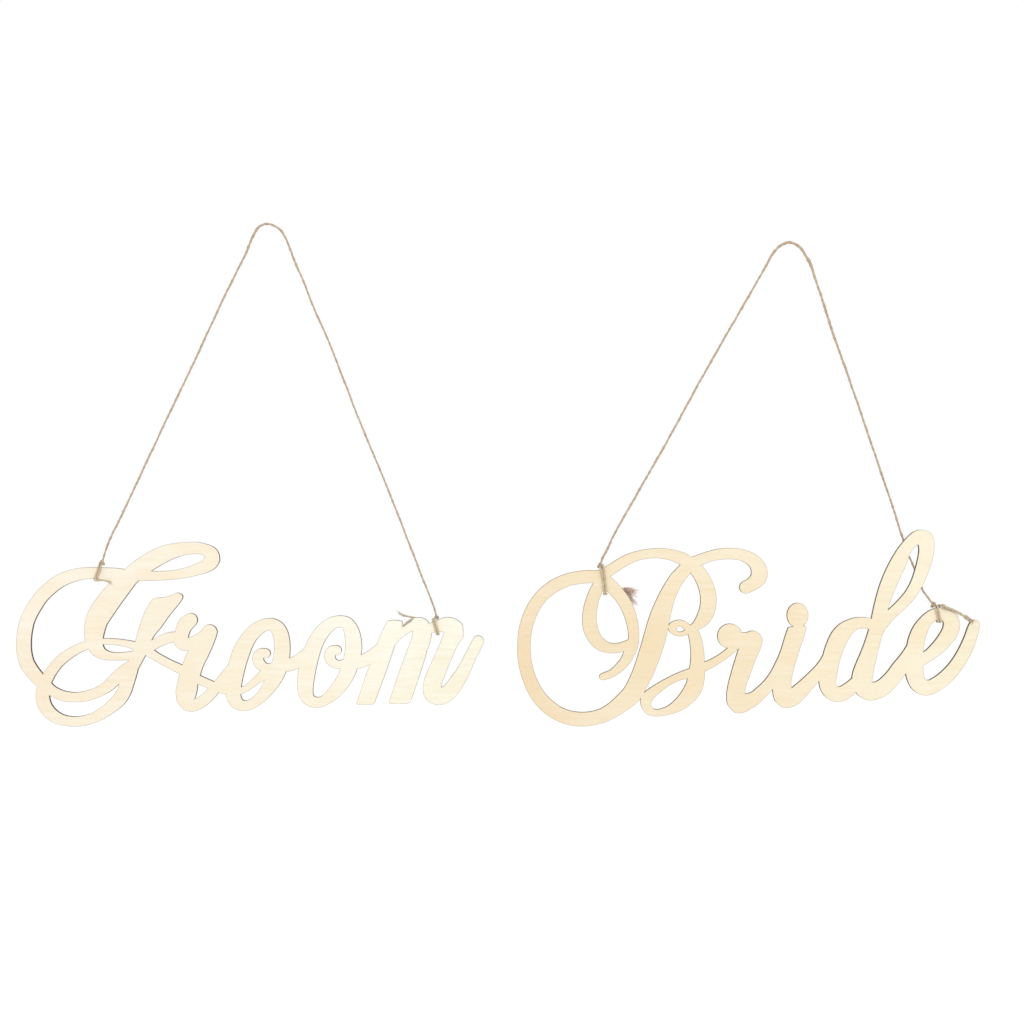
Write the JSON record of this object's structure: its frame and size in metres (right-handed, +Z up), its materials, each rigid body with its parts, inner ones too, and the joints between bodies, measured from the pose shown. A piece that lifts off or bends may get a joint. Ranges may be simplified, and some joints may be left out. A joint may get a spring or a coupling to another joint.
{
  "type": "wooden sign",
  "caption": "Pair of laser-cut script-word signs in thin three-ply board, each hung on its own loop of jute twine tied round the lettering.",
  "frame": {"origin": "underside of the top bend in the first sign's twine, where a peg or hook carries it", "axes": "+Z up, +X to the right along the words, the words are read from the -Y side"},
  "size_m": [0.616, 0.0085, 0.3223],
  "materials": {
    "groom_front_veneer": "pale birch-like veneer, dry, laser-cut edge",
    "groom_core_ply": "scorched edge of the middle ply",
    "groom_back_veneer": "pale birch-like veneer, dry",
    "groom_left_tie": "jute twine, fibrous and dull",
    "groom_left_knot": "jute twine, fibrous and dull",
    "groom_right_tie": "jute twine, fibrous and dull",
    "groom_right_knot": "jute twine, fibrous and dull",
    "groom_twine": "jute twine, fibrous and dull",
    "bride_front_veneer": "pale birch-like veneer, dry, laser-cut edge",
    "bride_core_ply": "scorched edge of the middle ply",
    "bride_back_veneer": "pale birch-like veneer, dry",
    "bride_left_tie": "jute twine, fibrous and dull",
    "bride_left_knot": "jute twine, fibrous and dull",
    "bride_right_tie": "jute twine, fibrous and dull",
    "bride_right_knot": "jute twine, fibrous and dull",
    "bride_twine": "jute twine, fibrous and dull"
  },
  "bodies": {
    "hanger": {"groom_twine": "groom_twine", "bride_twine": "bride_twine"},
    "groom_board": {"groom_front_veneer": "groom_front_veneer", "groom_core_ply": "groom_core_ply", "groom_back_veneer": "groom_back_veneer", "groom_left_tie": "groom_left_tie", "groom_left_knot": "groom_left_knot", "groom_right_tie": "groom_right_tie", "groom_right_knot": "groom_right_knot"},
    "bride_board": {"bride_front_veneer": "bride_front_veneer", "bride_core_ply": "bride_core_ply", "bride_back_veneer": "bride_back_veneer", "bride_left_tie": "bride_left_tie", "bride_left_knot": "bride_left_knot", "bride_right_tie": "bride_right_tie", "bride_right_knot": "bride_right_knot"}
  },
  "joints": [
    {"name": "groom_tilt", "type": "hinge", "parent": "hanger", "child": "groom_board", "pos_m": [-0.105, 0, -0.2164], "axis": [0.9871, 0, -0.1599], "range_deg": [-60, 60]},
    {"name": "bride_tilt", "type": "hinge", "parent": "hanger", "child": "bride_board", "pos_m": [0.2138, 0, -0.2181], "axis": [0.9931, 0, -0.1172], "range_deg": [0, 60]}
  ]
}
